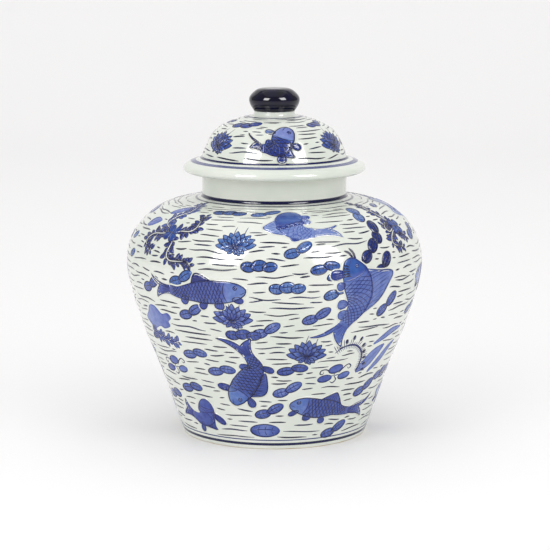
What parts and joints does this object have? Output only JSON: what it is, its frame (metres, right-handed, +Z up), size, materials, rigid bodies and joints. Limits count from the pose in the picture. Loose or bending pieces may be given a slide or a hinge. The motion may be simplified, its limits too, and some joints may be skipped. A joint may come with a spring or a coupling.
{
  "type": "ginger jar",
  "caption": "Round-bellied porcelain jar with a short straight neck, a foot ring and a domed, brimmed lid with a collar and a knob.",
  "frame": {"origin": "centre of the foot ring's standing face", "axes": "+Z up along the jar's axis of revolution, towards the knob; +X to the right and -Y towards the viewer of the painted front"},
  "size_m": [0.2566, 0.2566, 0.3],
  "materials": {
    "glazed_porcelain": "gloss clear glaze over white porcelain, painted in cobalt blue",
    "bare_porcelain": "matt, unglazed",
    "cobalt_glaze": "gloss, near-black cobalt"
  },
  "bodies": {
    "jar": {"jar_body": "glazed_porcelain"},
    "lid": {"lid_dome": "glazed_porcelain", "lid_collar": "bare_porcelain", "lid_knob": "cobalt_glaze"}
  },
  "joints": [
    {"name": "lid_lift", "type": "slide", "parent": "jar", "child": "lid", "axis": [0, 0, 1], "range_m": [0, 0.15]}
  ]
}
